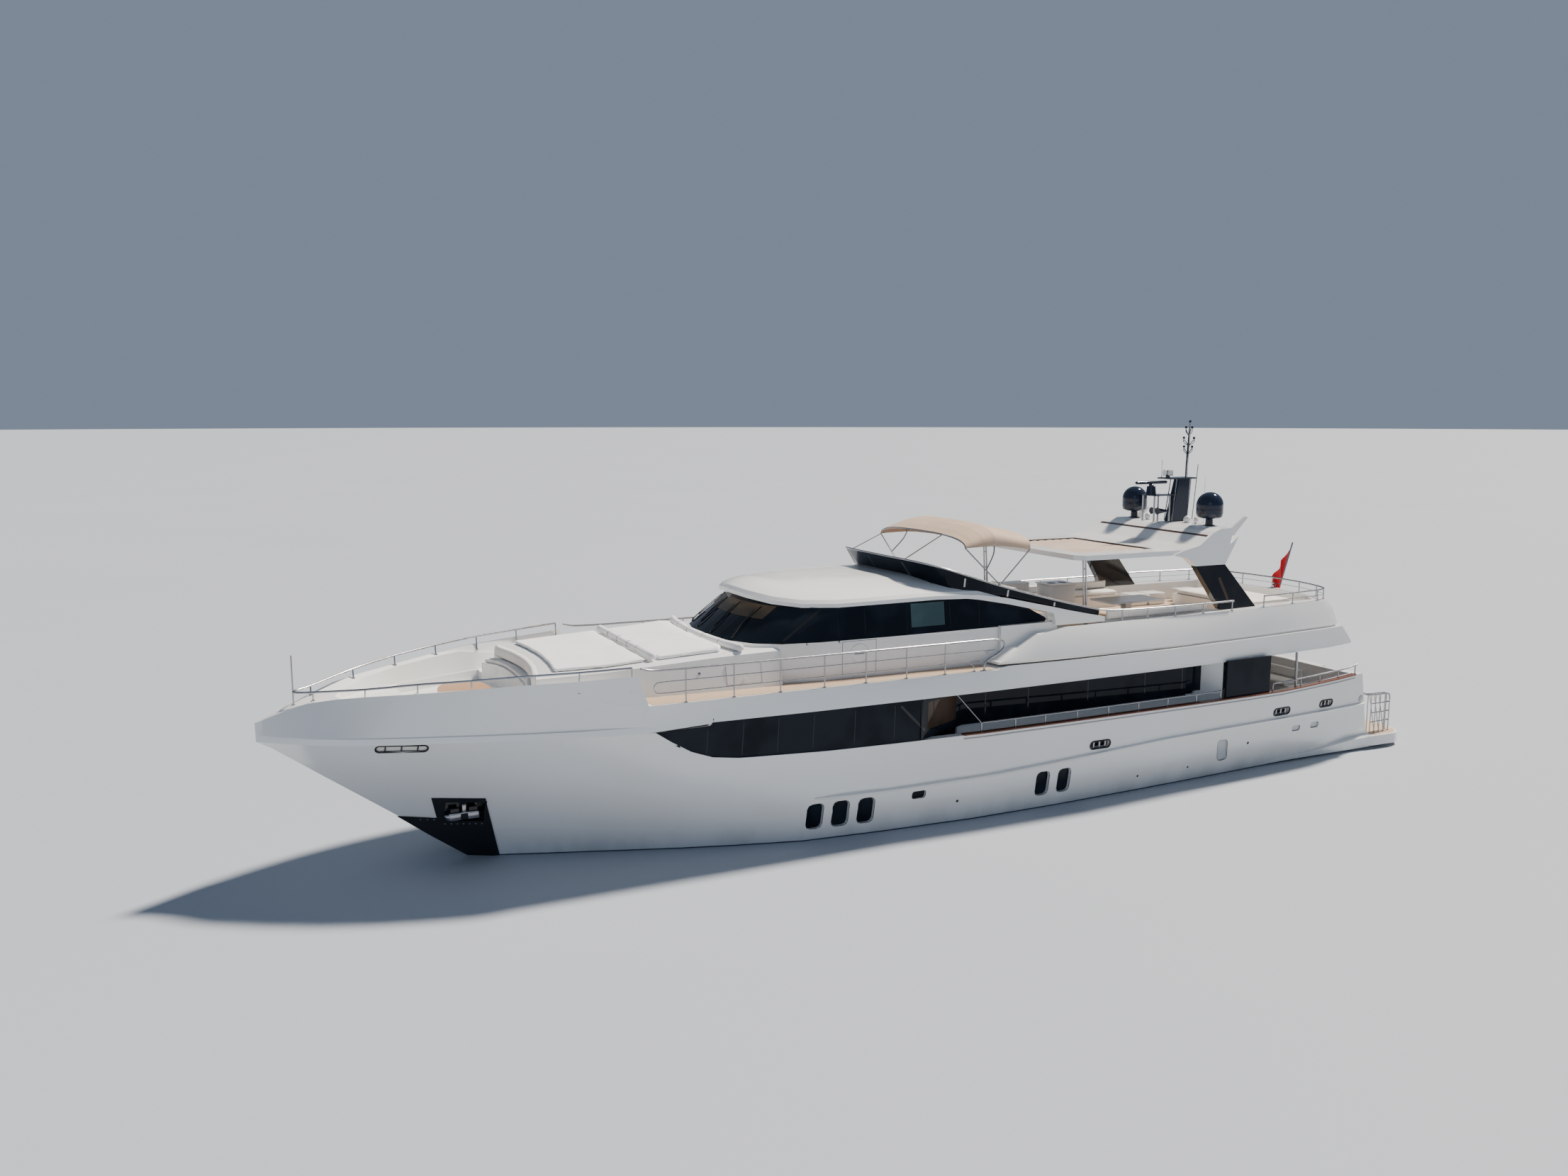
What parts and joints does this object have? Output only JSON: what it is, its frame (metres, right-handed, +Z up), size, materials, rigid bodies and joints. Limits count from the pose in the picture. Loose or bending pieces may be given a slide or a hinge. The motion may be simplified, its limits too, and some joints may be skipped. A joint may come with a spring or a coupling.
{
  "type": "motor yacht",
  "caption": "Three-deck motor yacht with raised pilothouse, flybridge under a hardtop with radar arch, bow lounge, covered side decks and stern swim platform.",
  "frame": {"origin": "on the centreline at the waterline, midway between the bow and the swim platform's aft edge", "axes": "+X forward, +Y to port, +Z up"},
  "size_m": [31.995, 6.5, 11.3812],
  "materials": {
    "hull_gelcoat": "gloss white gelcoat",
    "anchor_plate": "gloss black paint",
    "superstructure": "gloss white gelcoat",
    "dark_glass": "dark tinted",
    "steel": "polished stainless steel",
    "black_gloss": "gloss black paint",
    "radar_paint": "satin dark paint",
    "helm": "matte black",
    "cushion": "matte white upholstery",
    "cover": "matte white cover cloth",
    "canvas": "matte sand-brown canvas",
    "flag": "matte red cloth",
    "teak": "oiled teak",
    "bronze": "satin bronze"
  },
  "bodies": {
    "yacht": {"hull": "hull_gelcoat", "swim_platform": "hull_gelcoat", "anchor_plate": "anchor_plate", "upper_deck": "superstructure", "saloon_house": "superstructure", "foredeck_trunk": "superstructure", "wheelhouse": "superstructure", "wheelhouse_roof": "superstructure", "flybridge": "superstructure", "fly_helm": "superstructure", "hardtop": "superstructure", "wheelhouse_glass": "dark_glass", "fly_screen": "dark_glass", "main_glass_port": "dark_glass", "main_glass_starboard": "dark_glass", "wing_panel_port": "dark_glass", "wing_panel_starboard": "dark_glass", "foredeck_rail": "steel", "fly_screen_rail": "steel", "fly_aft_rail": "steel", "bimini_frame": "steel", "walkway_rail_port": "steel", "walkway_rail_starboard": "steel", "cockpit_rail_port": "steel", "cockpit_rail_starboard": "steel", "boarding_rail_port": "steel", "boarding_rail_starboard": "steel", "side_rail_port": "steel", "side_rail_starboard": "steel", "hardtop_pole_port": "steel", "hardtop_pole_starboard": "steel", "mast": "black_gloss", "pillar_port": "black_gloss", "pillar_starboard": "black_gloss", "dome_port": "black_gloss", "dome_starboard": "black_gloss", "helm_station": "helm", "sunpad": "cushion", "bow_cushion": "cushion", "fly_cushion_port": "cushion", "fly_cushion_starboard": "cushion", "fly_sunpad": "cushion", "cockpit_cushion": "cushion", "cover_roll_forward": "cover", "cover_roll_aft": "cover", "bimini_canopy": "canvas", "sunroof": "canvas", "ensign": "flag", "bow_table": "teak", "cockpit_table": "teak"},
    "propeller_port": {"propeller_port": "bronze"},
    "rudder_port": {"rudder_port": "hull_gelcoat"},
    "saloon_door_port": {"saloon_door_port": "dark_glass"},
    "locker_port": {"locker_door_port": "superstructure"},
    "propeller_starboard": {"propeller_starboard": "bronze"},
    "rudder_starboard": {"rudder_starboard": "hull_gelcoat"},
    "saloon_door_starboard": {"saloon_door_starboard": "dark_glass"},
    "locker_starboard": {"locker_door_starboard": "superstructure"},
    "radar": {"radar_scanner": "radar_paint"}
  },
  "joints": [
    {"name": "propeller_spin_port", "type": "hinge", "parent": "yacht", "child": "propeller_port", "pos_m": [-11.75, 1.15, -1.12], "axis": [0.9978, 0, 0.0659], "continuous": true},
    {"name": "rudder_turn_port", "type": "hinge", "parent": "yacht", "child": "rudder_port", "pos_m": [-12.85, 1.15, -0.9], "axis": [0, 0, 1], "range_deg": [-35, 35]},
    {"name": "saloon_door_slide_port", "type": "slide", "parent": "yacht", "child": "saloon_door_port", "axis": [0, 1, 0], "range_m": [0, 0.95]},
    {"name": "locker_hinge_port", "type": "hinge", "parent": "yacht", "child": "locker_port", "pos_m": [5.925, 2.304, 4.321], "axis": [1, 0, 0], "range_deg": [0, 80]},
    {"name": "propeller_spin_starboard", "type": "hinge", "parent": "yacht", "child": "propeller_starboard", "pos_m": [-11.75, -1.15, -1.12], "axis": [0.9978, 0, 0.0659], "continuous": true},
    {"name": "rudder_turn_starboard", "type": "hinge", "parent": "yacht", "child": "rudder_starboard", "pos_m": [-12.85, -1.15, -0.9], "axis": [0, 0, 1], "range_deg": [-35, 35]},
    {"name": "saloon_door_slide_starboard", "type": "slide", "parent": "yacht", "child": "saloon_door_starboard", "axis": [0, -1, 0], "range_m": [0, 0.95]},
    {"name": "locker_hinge_starboard", "type": "hinge", "parent": "yacht", "child": "locker_starboard", "pos_m": [5.925, -2.304, 4.321], "axis": [-1, 0, 0], "range_deg": [0, 80]},
    {"name": "radar_turn", "type": "hinge", "parent": "yacht", "child": "radar", "pos_m": [-7.8, 0, 7.95], "axis": [0, 0, 1], "continuous": true}
  ]
}
